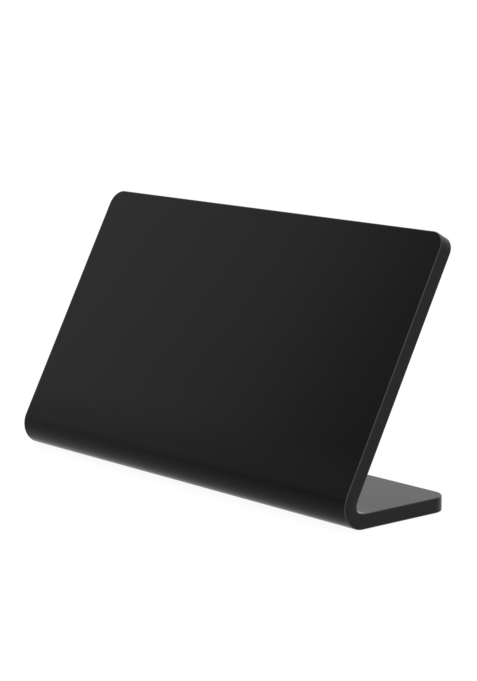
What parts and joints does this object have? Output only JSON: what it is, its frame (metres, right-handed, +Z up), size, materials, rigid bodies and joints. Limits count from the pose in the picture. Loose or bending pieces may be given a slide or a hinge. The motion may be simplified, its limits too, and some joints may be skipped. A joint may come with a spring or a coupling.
{
  "type": "chalkboard place card",
  "caption": "Small L-shaped table sign bent from a sheet of black acrylic, with a leaning face to write on with chalk marker and a flat foot that stands on a table.",
  "frame": {"origin": "on the table, under the middle of the card's box", "axes": "+X along the card's width, +Y from the writing face towards the rear of the foot, +Z up from the table"},
  "size_m": [0.1, 0.0278, 0.053],
  "materials": {
    "black_acrylic": "satin black, coloured right through, with smooth cut edges"
  },
  "bodies": {
    "root": {"bent_sheet": "black_acrylic"}
  },
  "joints": []
}
